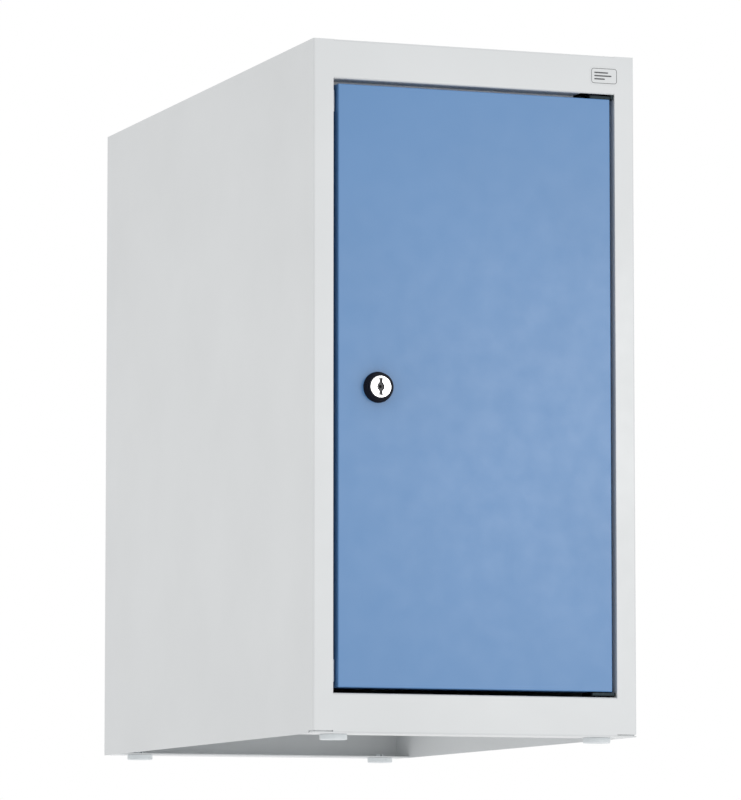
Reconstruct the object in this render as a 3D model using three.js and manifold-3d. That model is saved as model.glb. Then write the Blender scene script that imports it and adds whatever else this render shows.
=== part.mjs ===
// A steel bedside cabinet with one lockable hinged door, built as its separate sheet-metal pieces.
// Millimetres, +Z up. The door faces -Y and the origin is the middle of the box's underside.

import * as THREE from 'three';
import Module from 'manifold-3d';
import { mergeVertices } from 'three/addons/utils/BufferGeometryUtils.js';

const wasm = await Module();
wasm.setup();

// The body.
const BODY_WIDTH = 250;
const BODY_DEPTH = 500;
const BODY_HEIGHT = 500;
const SHEET = 1;
const BEND = 1.5;
const BEND_STEPS = 3;
const JOINT_GAP = 0.3;
const BEND_CLEARANCE = BEND - SHEET + JOINT_GAP;
const STILE_WIDTH = 15.3;
const STILE_LIP = 22;
const STILE_LIFT = 1.5;
const TOP_RAIL_HEIGHT = 28.6;
const TOP_RAIL_LIP = 25;
const TOP_LIP_STEP = 14;
const TOP_LIP_DROP = 3.1;
const TOP_LIP_SLIT = 10;
const TOP_LIP_SLIT_WIDTH = 1.2;
const TOP_LIP_NOTCH = 27;
const BOTTOM_RAIL_HEIGHT = 28.7;
const BOTTOM_RAIL_LIP = 16;
const PLINTH_FLANGE = 32;
const REAR_FLANGE = 15;
const FLOOR_FLANGE = 9;
const REAR_SHEET_GAP = 0.1;
const REAR_SHEET_CHAMFER = 0.7;

// The door.
const DOOR_GAP_SIDE = 3.8;
const DOOR_GAP_TOP = 3.6;
const DOOR_GAP_BOTTOM = 4;
const DOOR_THICKNESS = 20;
const DOOR_FLANGE = 12;
const DOOR_EDGE_RADIUS = 0.8;
const STIFFENER_HEIGHT = 380;
const STIFFENER_WIDTH = 50;
const STIFFENER_DEPTH = 14;
const STIFFENER_FOOT = 12;
const STIFFENER_X = 15;
const BUFFER_HEIGHT = 16;
const BUFFER_SIDE = 2.6;
const BUFFER_REACH = 11;
const BUFFER_SETBACK = 4;
const BUFFER_STOP = 4;
const BUFFER_END_DISTANCE = 4;

// The pivot hinges.
const PIVOT_INSET = 10;
const PIVOT_DEPTH = 8;
const PIN_RADIUS = 3;
const PIN_COLLAR_RADIUS = 5.5;
const PIN_COLLAR = 4;
const PIN_REACH_UP = 6.5;
const PIN_REACH_DOWN = 8;
const BUSH_RADIUS = 4;
const BUSH_FLANGE_RADIUS = 6;
const BUSH_FLANGE = 1.5;
const BUSH_SPARE = 1;
const RUNNING_GAP = 0.2;
const BRACKET_WIDTH = 19;
const BRACKET_DEPTH = 19;
const BRACKET_SETBACK = 2;
const BRACKET_PLATE = 2.3;
const LOWER_BRACKET_LIFT = 1.1;
const UPPER_BRACKET_LIFT = 0.4;
const UPPER_BRACKET_LEG = 14;

// The cam lock.
const LOCK_FROM_DOOR_EDGE = 30.2;
const LOCK_HEIGHT = 248.5;
const LOCK_PROUD = 6.5;
const ROSETTE_RADIUS = 11.2;
const ROSETTE_TIP_RADIUS = 10;
const ROSETTE_RING = 5.6;
const BARREL_RADIUS = 9.4;
const BARREL_LENGTH = 22;
const FACE_RADIUS = 8;
const FACE_THICKNESS = 2;
const PLUG_RADIUS = 7;
const KEY_SLOT_HEIGHT = 12.4;
const KEY_SLOT_WIDTH = 2.1;
const KEY_SLOT_BULGE = 2.8;
const KEY_SLOT_DEPTH = 9;
const TANG = 7;
const CAM_THICKNESS = 2.5;
const CAM_WIDTH = 16;
const CAM_LENGTH = 42;
const CAM_DEPTH = 24;
const LOCK_NUT_RADIUS = 13.8;
const LOCK_NUT_THICKNESS = 5;
const CAM_WASHER_RADIUS = 7;
const CAM_WASHER_THICKNESS = 1.2;
const CAM_SCREW_RADIUS = 2.9;
const CAM_SCREW_LENGTH = 10;
const CAM_SCREW_HEAD_RADIUS = 5;
const CAM_SCREW_CROWN_RADIUS = 3.6;
const CAM_SCREW_RIM = 2.5;
const CAM_SCREW_HEAD = 3.6;
const DRIVE_SLOT_WIDTH = 1.2;
const DRIVE_SLOT_LENGTH = 6;
const DRIVE_SLOT_DEPTH = 1.6;

// The shelf and the feet.
const SHELF_HEIGHT = 246;
const SHELF_SETBACK = 45;
const SHELF_SIDE_GAP = 2;
const SHELF_FOLD = 15;
const SHELF_REAR_GAP = 4;
const CLIP_LENGTH = 20;
const CLIP_THICKNESS = 1.5;
const CLIP_TAB = 11;
const CLIP_LEG = 10;
const CLIP_FROM_FRONT = 95;
const CLIP_FROM_REAR = 60;
const GLIDE_HEIGHT = 4;
const GLIDE_RADIUS = 10;
const GLIDE_EDGE = 1;
const GLIDE_FROM_SIDE = 23;
const GLIDE_FROM_FRONT = 21;
const GLIDE_FROM_REAR = 23;
const GLIDE_STEM_RADIUS = 3;
const GLIDE_BARB_RADIUS = 3.8;
const GLIDE_BARB_TIP_RADIUS = 2.6;
const GLIDE_BARB = 1.4;

// The blank label.
const LABEL_WIDTH = 22;
const LABEL_HEIGHT = 13;
const LABEL_THICKNESS = 0.2;
const LABEL_FROM_SIDE = 23.5;
const LABEL_FROM_TOP = 15;

// Places worked out from the sizes above.
const FRONT = -(BODY_DEPTH - LOCK_PROUD) / 2;
const REAR = FRONT + BODY_DEPTH;
const SIDE = BODY_WIDTH / 2;
const BASE = GLIDE_HEIGHT;
const TOP = BASE + BODY_HEIGHT;
const INSIDE = SIDE - SHEET;
const OPENING_SIDE = SIDE - STILE_WIDTH;
const OPENING_BOTTOM = BASE + BOTTOM_RAIL_HEIGHT;
const OPENING_TOP = TOP - TOP_RAIL_HEIGHT;
const FLOOR_TOP = OPENING_BOTTOM - SHEET;
const DOOR_SIDE = OPENING_SIDE - DOOR_GAP_SIDE;
const DOOR_BOTTOM = OPENING_BOTTOM + DOOR_GAP_BOTTOM;
const DOOR_TOP = OPENING_TOP - DOOR_GAP_TOP;
const DOOR_BACK = FRONT + DOOR_THICKNESS;
const PIVOT_X = DOOR_SIDE - PIVOT_INSET;
const PIVOT_Y = FRONT + PIVOT_DEPTH;
const UPPER_PLATE = DOOR_TOP + UPPER_BRACKET_LIFT;
const LOWER_PLATE = OPENING_BOTTOM + LOWER_BRACKET_LIFT;
const LOCK_X = -DOOR_SIDE + LOCK_FROM_DOOR_EDGE;
const LOCK_Z = BASE + LOCK_HEIGHT;
const SHELF_TOP = BASE + SHELF_HEIGHT;
const SHELF_SIDE = INSIDE - SHELF_SIDE_GAP;
const GLIDE_X = SIDE - GLIDE_FROM_SIDE;
const GLIDE_FRONT_Y = FRONT + GLIDE_FROM_FRONT;
const GLIDE_REAR_Y = REAR - GLIDE_FROM_REAR;

const ROUND = 32;
const SMALL_ROUND = 20;
const HEXAGON = 6;

const paint = { roughness: 0.45, metalness: 0.1 };
const greyPaint = new THREE.MeshStandardMaterial({ color: 0xdcdee0, ...paint });
const bluePaint = new THREE.MeshStandardMaterial({ color: 0x7fa0c6, ...paint });
const zincPlate = new THREE.MeshStandardMaterial({ color: 0xb9bcc0, roughness: 0.35, metalness: 0.9 });
const lockFace = new THREE.MeshStandardMaterial({ color: 0xf0f0f0, roughness: 0.25, metalness: 0.9 });
const blackPlastic = new THREE.MeshStandardMaterial({ color: 0x14171f, roughness: 0.4, metalness: 0 });
const greyPlastic = new THREE.MeshStandardMaterial({ color: 0xc4cad0, roughness: 0.5, metalness: 0 });
const darkSteel = new THREE.MeshStandardMaterial({ color: 0x3a3c40, roughness: 0.4, metalness: 0.8 });
const labelFoil = new THREE.MeshStandardMaterial({ color: 0xd8dadc, roughness: 0.4, metalness: 0 });

// Solids.

function solid(geometry) {
  const bare = geometry.clone();
  bare.deleteAttribute('normal');
  bare.deleteAttribute('uv');
  const merged = mergeVertices(bare, 1e-4);
  const corners = merged.index.array;
  const kept = [];
  for (let i = 0; i < corners.length; i += 3) {
    const [a, b, c] = corners.slice(i, i + 3);
    if (a !== b && b !== c && c !== a) kept.push(a, b, c);
  }
  return new wasm.Manifold(new wasm.Mesh({
    numProp: 3,
    vertProperties: merged.attributes.position.array,
    triVerts: Uint32Array.from(kept),
  }));
}

function box([x0, x1], [y0, y1], [z0, z1]) {
  const geometry = new THREE.BoxGeometry(x1 - x0, y1 - y0, z1 - z0);
  geometry.translate((x0 + x1) / 2, (y0 + y1) / 2, (z0 + z1) / 2);
  return solid(geometry);
}

// The outline's two coordinates are (y, z) along x, (z, x) along y and (x, y) along z.
function extrude(outline, axis, from, to) {
  const shape = outline instanceof THREE.Shape ? outline : new THREE.Shape(outline);
  const options = { depth: to - from, bevelEnabled: false, curveSegments: 8 };
  const geometry = new THREE.ExtrudeGeometry(shape, options);
  geometry.translate(0, 0, from);
  const turn = new THREE.Matrix4();
  if (axis === 'x') turn.set(0, 0, 1, 0, 1, 0, 0, 0, 0, 1, 0, 0, 0, 0, 0, 1);
  if (axis === 'y') turn.set(0, 1, 0, 0, 0, 0, 1, 0, 1, 0, 0, 0, 0, 0, 0, 1);
  return solid(geometry.applyMatrix4(turn));
}

// A profile of (radius, height) points, turned about the axis. Its outer side runs upwards.
function turned(profile, axis, segments) {
  const points = profile.map(([radius, height]) => new THREE.Vector2(radius, height));
  const geometry = new THREE.LatheGeometry(points, segments);
  if (axis === 'z') geometry.rotateX(Math.PI / 2);
  return solid(geometry);
}

function disc(radius, low, high, axis, segments = ROUND) {
  return turned([[0, low], [radius, low], [radius, high], [0, high]], axis, segments);
}

function ring(inner, outer, low, high, axis, segments = ROUND) {
  return turned([[outer, low], [outer, high], [inner, high], [inner, low], [outer, low]], axis, segments);
}

// The section of a folded sheet. The path runs along one face, and the sheet lies on its left.
function folded(path) {
  const face = path.map(([u, v]) => new THREE.Vector2(u, v));
  const runs = face.slice(1).map((point, i) => point.clone().sub(face[i]).normalize());
  const normals = runs.map((run) => new THREE.Vector2(-run.y, run.x));
  const near = [face[0]];
  const far = [face[0].clone().addScaledVector(normals[0], SHEET)];
  for (let i = 1; i < runs.length; i += 1) {
    const turn = Math.sign(runs[i - 1].cross(runs[i]));
    const nearRadius = turn > 0 ? BEND : BEND - SHEET;
    const farRadius = turn > 0 ? BEND - SHEET : BEND;
    const centre = face[i].clone();
    centre.addScaledVector(runs[i - 1], -nearRadius);
    centre.addScaledVector(normals[i - 1], turn * nearRadius);
    for (let step = 0; step <= BEND_STEPS; step += 1) {
      const angle = (turn * Math.PI * step) / (2 * BEND_STEPS);
      const spoke = normals[i - 1].clone().multiplyScalar(-turn).rotateAround(new THREE.Vector2(), angle);
      near.push(centre.clone().addScaledVector(spoke, nearRadius));
      far.push(centre.clone().addScaledVector(spoke, farRadius));
    }
  }
  near.push(face.at(-1));
  far.push(face.at(-1).clone().addScaledVector(normals.at(-1), SHEET));
  return [...near, ...far.reverse()];
}

// A rectangle with its two corners at the front edge rounded, as (across, depth) points.
function frontRounded(low, high, front, back, radius) {
  const points = [[low, back]];
  for (let step = 0; step <= BEND_STEPS; step += 1) {
    const angle = (Math.PI * step) / (2 * BEND_STEPS);
    points.push([low + radius * (1 - Math.cos(angle)), front + radius * (1 - Math.sin(angle))]);
  }
  for (let step = 0; step <= BEND_STEPS; step += 1) {
    const angle = (Math.PI * step) / (2 * BEND_STEPS);
    points.push([high - radius * (1 - Math.sin(angle)), front + radius * (1 - Math.cos(angle))]);
  }
  points.push([high, back]);
  return points.map(([u, v]) => new THREE.Vector2(u, v));
}

function mesh(name, shape, material) {
  const { vertProperties, triVerts } = shape.getMesh();
  const geometry = new THREE.BufferGeometry();
  geometry.setAttribute('position', new THREE.BufferAttribute(vertProperties, 3));
  geometry.setIndex(new THREE.BufferAttribute(triVerts, 1));
  geometry.computeVertexNormals();
  const part = new THREE.Mesh(geometry, material);
  part.name = name;
  return part;
}

function placed(part, x, y, z) {
  part.position.set(x, y, z);
  return part;
}

// The body's panels.

// One sheet makes the side, the front stile with its lip, and the rear flange.
// The stile stops a little short of the base.
function sidePanel(side) {
  const plainPath = [
    [-OPENING_SIDE, FRONT],
    [-SIDE, FRONT],
    [-SIDE, REAR],
    [-SIDE + REAR_FLANGE, REAR],
  ];
  const plain = folded([...plainPath].reverse());
  const withLip = folded([[-OPENING_SIDE, FRONT + STILE_LIP], ...plainPath].reverse());
  const foot = box([-SIDE, -INSIDE], [FRONT + BEND, REAR - BEND], [BASE, BASE + 2 * STILE_LIFT]);
  const panel = extrude(plain, 'z', BASE + STILE_LIFT, TOP)
    .add(extrude(withLip, 'z', FLOOR_TOP + JOINT_GAP, OPENING_TOP))
    .add(foot);
  return side < 0 ? panel : panel.mirror([1, 0, 0]);
}

// The top rail's lip steps down behind the rail, so that the gap above the door shows no deep slot.
function topPanel() {
  const section = folded([
    [FRONT + 2 * BEND, OPENING_TOP],
    [FRONT, OPENING_TOP],
    [FRONT, TOP],
    [REAR, TOP],
    [REAR, TOP - REAR_FLANGE],
  ].reverse());
  const slitEnd = -OPENING_SIDE + TOP_LIP_SLIT;
  const lipEnd = OPENING_SIDE - TOP_LIP_NOTCH;
  const lipSection = folded([
    [FRONT + BEND, OPENING_TOP],
    [FRONT + TOP_LIP_STEP, OPENING_TOP],
    [FRONT + TOP_LIP_STEP, OPENING_TOP - TOP_LIP_DROP],
    [FRONT + TOP_RAIL_LIP, OPENING_TOP - TOP_LIP_DROP],
  ]);
  const lip = extrude(lipSection, 'x', -OPENING_SIDE + JOINT_GAP, lipEnd);
  const sheetFront = FRONT + BEND_CLEARANCE + SHEET;
  const sheetRear = REAR - BEND_CLEARANCE - SHEET;
  const sheet = box([-INSIDE, INSIDE], [sheetFront, sheetRear], [TOP - SHEET, TOP]);
  const cutHeights = [OPENING_TOP - SHEET, OPENING_TOP + 2 * SHEET];
  const slitBack = FRONT + SHEET + TOP_LIP_SLIT_WIDTH;
  const slit = box([-OPENING_SIDE - SHEET, slitEnd], [FRONT + SHEET, slitBack], cutHeights);
  const notch = box([lipEnd, OPENING_SIDE + SHEET], [FRONT + SHEET, FRONT + TOP_RAIL_LIP], cutHeights);
  const rail = extrude(section, 'x', -OPENING_SIDE, OPENING_SIDE);
  return rail.add(lip).add(sheet).subtract(slit).subtract(notch);
}

// The plinth flange reaches under the stiles and carries the two front glides.
function bottomFrontRail() {
  const section = folded([
    [FRONT + BOTTOM_RAIL_LIP, OPENING_BOTTOM],
    [FRONT, OPENING_BOTTOM],
    [FRONT, BASE],
    [FRONT + PLINTH_FLANGE, BASE],
  ]);
  const halfWidth = INSIDE - JOINT_GAP;
  const flangeFront = FRONT + SHEET + BEND_CLEARANCE;
  const flange = box([-halfWidth, halfWidth], [flangeFront, FRONT + PLINTH_FLANGE], [BASE, BASE + SHEET]);
  const rail = extrude(section, 'x', -OPENING_SIDE, OPENING_SIDE).add(flange);
  return rail.subtract(lowerBushHole()).subtract(glideHoles(GLIDE_FRONT_Y));
}

// The rear sheet's plinth flange carries the two rear glides.
function rearPanel() {
  const back = REAR - SHEET;
  const section = folded([
    [back - PLINTH_FLANGE, BASE],
    [back, BASE],
    [back, TOP - SHEET - BEND_CLEARANCE],
  ]);
  const halfWidth = INSIDE - REAR_SHEET_GAP;
  const cornerX = halfWidth - REAR_SHEET_CHAMFER;
  const cornerY = back - REAR_SHEET_CHAMFER;
  const plan = [
    new THREE.Vector2(-halfWidth, 0),
    new THREE.Vector2(halfWidth, 0),
    new THREE.Vector2(halfWidth, cornerY),
    new THREE.Vector2(cornerX, back),
    new THREE.Vector2(-cornerX, back),
    new THREE.Vector2(-halfWidth, cornerY),
  ];
  const sheet = extrude(section, 'x', -halfWidth, halfWidth).intersect(extrude(plan, 'z', BASE, TOP));
  return sheet.subtract(glideHoles(GLIDE_REAR_Y));
}

// The floor lies under the bottom rail's lip.
function floorPanel() {
  const front = FRONT + SHEET + BEND_CLEARANCE;
  const back = REAR - 2 * SHEET;
  const flangeBottom = OPENING_BOTTOM - FLOOR_FLANGE;
  const flangeFront = FRONT + BOTTOM_RAIL_LIP + BEND;
  const sheet = box([-INSIDE, INSIDE], [front, back], [FLOOR_TOP - SHEET, FLOOR_TOP]);
  const skirt = box([-INSIDE, INSIDE], [flangeFront, back], [flangeBottom, FLOOR_TOP]);
  const inside = INSIDE - SHEET;
  const hollowHeights = [flangeBottom - 1, FLOOR_TOP - SHEET];
  const hollow = box([-inside, inside], [flangeFront - 1, back - SHEET], hollowHeights);
  return sheet.add(skirt).subtract(hollow).subtract(lowerBushHole());
}

function shelf() {
  const front = FRONT + SHELF_SETBACK;
  const back = REAR - 2 * SHEET - SHELF_REAR_GAP;
  const bottom = SHELF_TOP - SHELF_FOLD;
  const block = box([-SHELF_SIDE, SHELF_SIDE], [front, back], [bottom, SHELF_TOP]);
  const inside = SHELF_SIDE - SHEET;
  const hollow = box([-inside, inside], [front + SHEET, back - SHEET], [bottom - 1, SHELF_TOP - SHEET]);
  return block.subtract(hollow);
}

// A clip hooks into the left side. Its tab carries the shelf's folded edge.
function shelfClip(side) {
  const fold = SHELF_TOP - SHELF_FOLD;
  const bottom = fold - CLIP_THICKNESS;
  const along = [-CLIP_LENGTH / 2, CLIP_LENGTH / 2];
  const leg = box([-INSIDE, -INSIDE + CLIP_THICKNESS], along, [bottom, fold + CLIP_LEG]);
  const clip = leg.add(box([-INSIDE, -INSIDE + CLIP_TAB], along, [bottom, fold]));
  return side < 0 ? clip : clip.mirror([1, 0, 0]);
}

// A glide is modelled about its own stem, which snaps through the flange above it.
function footGlide() {
  const barb = BASE + SHEET + RUNNING_GAP;
  return turned([
    [0, 0],
    [GLIDE_RADIUS - GLIDE_EDGE, 0],
    [GLIDE_RADIUS, GLIDE_EDGE],
    [GLIDE_RADIUS, GLIDE_HEIGHT - GLIDE_EDGE],
    [GLIDE_RADIUS - GLIDE_EDGE, GLIDE_HEIGHT],
    [GLIDE_STEM_RADIUS, GLIDE_HEIGHT],
    [GLIDE_STEM_RADIUS, barb],
    [GLIDE_BARB_RADIUS, barb],
    [GLIDE_BARB_TIP_RADIUS, barb + GLIDE_BARB],
    [0, barb + GLIDE_BARB],
  ], 'z', SMALL_ROUND);
}

function glideHoles(y) {
  const hole = disc(GLIDE_STEM_RADIUS + RUNNING_GAP, BASE - 1, BASE + 2 * SHEET, 'z', SMALL_ROUND);
  return hole.translate([-GLIDE_X, y, 0]).add(hole.translate([GLIDE_X, y, 0]));
}

// The hinges: pins on the door turn in bushes that the frame holds.

function atPivot(shape) {
  return shape.translate([PIVOT_X, PIVOT_Y, 0]);
}

function bushHole(low, high) {
  return atPivot(disc(BUSH_RADIUS + RUNNING_GAP, low, high, 'z', SMALL_ROUND));
}

function lowerBushHole() {
  return bushHole(FLOOR_TOP - 2 * SHEET, DOOR_BOTTOM);
}

function bush(low, high, flangeLow) {
  const bore = PIN_RADIUS + RUNNING_GAP;
  const shank = ring(bore, BUSH_RADIUS, low, high, 'z', SMALL_ROUND);
  const flange = ring(bore, BUSH_FLANGE_RADIUS, flangeLow, flangeLow + BUSH_FLANGE, 'z', SMALL_ROUND);
  return atPivot(shank.add(flange));
}

// Each bracket's plate lies in the gap beyond the door's end, welded to the stile's lip.
function bracketPlate(low) {
  const high = OPENING_SIDE - JOINT_GAP;
  const along = [FRONT + BRACKET_SETBACK, FRONT + BRACKET_SETBACK + BRACKET_DEPTH];
  const plate = box([high - BRACKET_WIDTH, high], along, [low, low + BRACKET_PLATE]);
  return plate.subtract(bushHole(low - 1, low + BRACKET_PLATE + 1));
}

function upperBracket() {
  const high = OPENING_SIDE - JOINT_GAP;
  const along = [FRONT + SHEET + JOINT_GAP, FRONT + BRACKET_SETBACK + BRACKET_DEPTH];
  const leg = box([high - BRACKET_PLATE, high], along, [UPPER_PLATE, UPPER_PLATE + UPPER_BRACKET_LEG]);
  return bracketPlate(UPPER_PLATE).add(leg);
}

function upperPin() {
  const flange = DOOR_TOP - SHEET;
  return atPivot(turned([
    [0, flange - PIN_COLLAR],
    [PIN_COLLAR_RADIUS, flange - PIN_COLLAR],
    [PIN_COLLAR_RADIUS, flange],
    [PIN_RADIUS, flange],
    [PIN_RADIUS, DOOR_TOP + PIN_REACH_UP],
    [0, DOOR_TOP + PIN_REACH_UP],
  ], 'z', SMALL_ROUND));
}

function lowerPin() {
  const flange = DOOR_BOTTOM + SHEET;
  return atPivot(turned([
    [0, DOOR_BOTTOM - PIN_REACH_DOWN],
    [PIN_RADIUS, DOOR_BOTTOM - PIN_REACH_DOWN],
    [PIN_RADIUS, flange],
    [PIN_COLLAR_RADIUS, flange],
    [PIN_COLLAR_RADIUS, flange + PIN_COLLAR],
    [0, flange + PIN_COLLAR],
  ], 'z', SMALL_ROUND));
}

function hingeWasher() {
  const low = LOWER_PLATE + BRACKET_PLATE + RUNNING_GAP / 2;
  const high = DOOR_BOTTOM - RUNNING_GAP / 2;
  return atPivot(ring(PIN_RADIUS + RUNNING_GAP, BUSH_FLANGE_RADIUS, low, high, 'z', SMALL_ROUND));
}

// The door's own pieces.

function doorPan() {
  const plan = frontRounded(-DOOR_SIDE, DOOR_SIDE, FRONT, DOOR_BACK, DOOR_EDGE_RADIUS);
  const elevation = frontRounded(DOOR_BOTTOM, DOOR_TOP, FRONT, DOOR_BACK, DOOR_EDGE_RADIUS);
  const upright = elevation.map((point) => new THREE.Vector2(point.y, point.x));
  const column = extrude(plan, 'z', DOOR_BOTTOM, DOOR_TOP);
  const block = column.intersect(extrude(upright, 'x', -DOOR_SIDE, DOOR_SIDE));
  const inside = DOOR_SIDE - SHEET;
  const hollowHeights = [DOOR_BOTTOM + SHEET, DOOR_TOP - SHEET];
  const hollow = box([-inside, inside], [FRONT + SHEET, DOOR_BACK - SHEET], hollowHeights);
  const windowSide = DOOR_SIDE - DOOR_FLANGE;
  const window = box(
    [-windowSide, windowSide],
    [DOOR_BACK - 2 * SHEET, DOOR_BACK + SHEET],
    [DOOR_BOTTOM + DOOR_FLANGE, DOOR_TOP - DOOR_FLANGE],
  );
  const lockHole = atLock(disc(BARREL_RADIUS + RUNNING_GAP, -SHEET, 2 * SHEET, 'y'));
  const pinRadius = PIN_RADIUS + RUNNING_GAP / 2;
  const upperHole = atPivot(disc(pinRadius, DOOR_TOP - 2 * SHEET, DOOR_TOP + SHEET, 'z', SMALL_ROUND));
  const lowerHole = atPivot(disc(pinRadius, DOOR_BOTTOM - SHEET, DOOR_BOTTOM + 2 * SHEET, 'z', SMALL_ROUND));
  return block.subtract(hollow).subtract(window).subtract(lockHole).subtract(upperHole).subtract(lowerHole);
}

function doorStiffener() {
  const left = STIFFENER_X - STIFFENER_WIDTH / 2;
  const right = STIFFENER_X + STIFFENER_WIDTH / 2;
  const footFace = FRONT + 2 * SHEET;
  const crown = footFace + STIFFENER_DEPTH;
  const hat = folded([
    [left - STIFFENER_FOOT, footFace],
    [left, footFace],
    [left, crown],
    [right, crown],
    [right, footFace],
    [right + STIFFENER_FOOT, footFace],
  ].reverse());
  const middle = (DOOR_BOTTOM + DOOR_TOP) / 2;
  return extrude(hat, 'z', middle - STIFFENER_HEIGHT / 2, middle + STIFFENER_HEIGHT / 2);
}

// A buffer fills part of the gap beside the door and has a stop behind the door's edge.
function doorBuffer(low) {
  const lip = -OPENING_SIDE;
  const heights = [low, low + BUFFER_HEIGHT];
  const stopFront = DOOR_BACK + JOINT_GAP;
  const pad = box([lip, lip + BUFFER_SIDE], [FRONT + BUFFER_SETBACK, FRONT + STILE_LIP], heights);
  const stop = box([lip, lip + BUFFER_REACH], [stopFront, DOOR_BACK + BUFFER_STOP], heights);
  return pad.add(stop);
}

// The lock, modelled about its own axis along +Y with the door's front face at zero.

function atLock(shape) {
  return shape.translate([LOCK_X, FRONT, LOCK_Z]);
}

function lockRosette() {
  const inner = BARREL_RADIUS + RUNNING_GAP / 2;
  return atLock(turned([
    [inner, 0],
    [inner, -ROSETTE_RING],
    [ROSETTE_TIP_RADIUS, -ROSETTE_RING],
    [ROSETTE_RADIUS, -1],
    [ROSETTE_RADIUS, 0],
    [inner, 0],
  ], 'y', ROUND));
}

function lockHousing() {
  const plugBore = PLUG_RADIUS + RUNNING_GAP;
  const faceBore = FACE_RADIUS + RUNNING_GAP;
  const shoulder = -LOCK_PROUD + FACE_THICKNESS + RUNNING_GAP;
  return atLock(turned([
    [BARREL_RADIUS, -LOCK_PROUD],
    [BARREL_RADIUS, BARREL_LENGTH],
    [plugBore, BARREL_LENGTH],
    [plugBore, shoulder],
    [faceBore, shoulder],
    [faceBore, -LOCK_PROUD],
    [BARREL_RADIUS, -LOCK_PROUD],
  ], 'y', ROUND));
}

function lockNut() {
  const nut = disc(LOCK_NUT_RADIUS, SHEET, SHEET + LOCK_NUT_THICKNESS, 'y', HEXAGON);
  return atLock(nut.subtract(disc(BARREL_RADIUS + RUNNING_GAP / 2, 0, 2 * LOCK_NUT_THICKNESS, 'y')));
}

function lockPlug() {
  const faceFront = -LOCK_PROUD + RUNNING_GAP;
  const tangEnd = CAM_DEPTH + CAM_THICKNESS;
  const body = turned([
    [0, faceFront],
    [FACE_RADIUS, faceFront],
    [FACE_RADIUS, faceFront + FACE_THICKNESS - RUNNING_GAP],
    [PLUG_RADIUS, faceFront + FACE_THICKNESS - RUNNING_GAP],
    [PLUG_RADIUS, CAM_DEPTH - JOINT_GAP],
    [0, CAM_DEPTH - JOINT_GAP],
  ], 'y', ROUND);
  const tang = box([-TANG / 2, TANG / 2], [CAM_DEPTH - 1, tangEnd], [-TANG / 2, TANG / 2]);
  const slotSides = [-KEY_SLOT_WIDTH / 2, KEY_SLOT_WIDTH / 2];
  const slotEnds = [-KEY_SLOT_HEIGHT / 2, KEY_SLOT_HEIGHT / 2];
  const slotDepth = [faceFront - 1, faceFront + KEY_SLOT_DEPTH];
  const slot = box(slotSides, slotDepth, slotEnds);
  const bulge = disc(KEY_SLOT_BULGE, faceFront - 1, faceFront + KEY_SLOT_DEPTH, 'y', SMALL_ROUND);
  const screwHole = disc(CAM_SCREW_RADIUS + RUNNING_GAP / 2, CAM_DEPTH - 8, tangEnd + 1, 'y', SMALL_ROUND);
  return atLock(body.add(tang).subtract(slot).subtract(bulge).subtract(screwHole));
}

// The cam hangs down while the lock is open, and turns to the left behind the stile's lip.
function lockCam() {
  const radius = CAM_WIDTH / 2;
  const outline = new THREE.Shape();
  outline.absarc(0, 0, radius, -Math.PI / 2, Math.PI / 2, false);
  outline.absarc(-CAM_LENGTH + radius, 0, radius, Math.PI / 2, (3 * Math.PI) / 2, false);
  const plate = extrude(outline, 'y', CAM_DEPTH, CAM_DEPTH + CAM_THICKNESS);
  const half = TANG / 2 + RUNNING_GAP;
  const hole = box([-half, half], [CAM_DEPTH - 1, CAM_DEPTH + 2 * CAM_THICKNESS], [-half, half]);
  return atLock(plate.subtract(hole));
}

function camWasher() {
  const low = CAM_DEPTH + CAM_THICKNESS + RUNNING_GAP / 2;
  const high = low + CAM_WASHER_THICKNESS;
  return atLock(ring(CAM_SCREW_RADIUS + RUNNING_GAP, CAM_WASHER_RADIUS, low, high, 'y', SMALL_ROUND));
}

function camScrew() {
  const head = CAM_DEPTH + CAM_THICKNESS + CAM_WASHER_THICKNESS + JOINT_GAP;
  const tip = head - CAM_SCREW_LENGTH;
  const top = head + CAM_SCREW_HEAD;
  const screw = turned([
    [0, tip],
    [CAM_SCREW_RADIUS, tip],
    [CAM_SCREW_RADIUS, head],
    [CAM_SCREW_HEAD_RADIUS, head],
    [CAM_SCREW_HEAD_RADIUS, head + CAM_SCREW_RIM],
    [CAM_SCREW_CROWN_RADIUS, top],
    [0, top],
  ], 'y', SMALL_ROUND);
  const depths = [top - DRIVE_SLOT_DEPTH, top + 1];
  const narrow = [-DRIVE_SLOT_WIDTH / 2, DRIVE_SLOT_WIDTH / 2];
  const long = [-DRIVE_SLOT_LENGTH / 2, DRIVE_SLOT_LENGTH / 2];
  const driveSlots = box(narrow, depths, long).add(box(long, depths, narrow));
  return atLock(screw.subtract(driveSlots));
}

function label() {
  const middleX = SIDE - LABEL_FROM_SIDE;
  const middleZ = TOP - LABEL_FROM_TOP;
  return box(
    [middleX - LABEL_WIDTH / 2, middleX + LABEL_WIDTH / 2],
    [FRONT - LABEL_THICKNESS, FRONT],
    [middleZ - LABEL_HEIGHT / 2, middleZ + LABEL_HEIGHT / 2],
  );
}

// The assembly.

const cabinet = new THREE.Group();
cabinet.add(
  mesh('side_panel_left', sidePanel(-1), greyPaint),
  mesh('side_panel_right', sidePanel(1), greyPaint),
  mesh('top_panel', topPanel(), greyPaint),
  mesh('bottom_front_rail', bottomFrontRail(), greyPaint),
  mesh('rear_panel', rearPanel(), greyPaint),
  mesh('floor_panel', floorPanel(), greyPaint),
  mesh('shelf', shelf(), greyPaint),
  mesh('label', label(), labelFoil),
);

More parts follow.
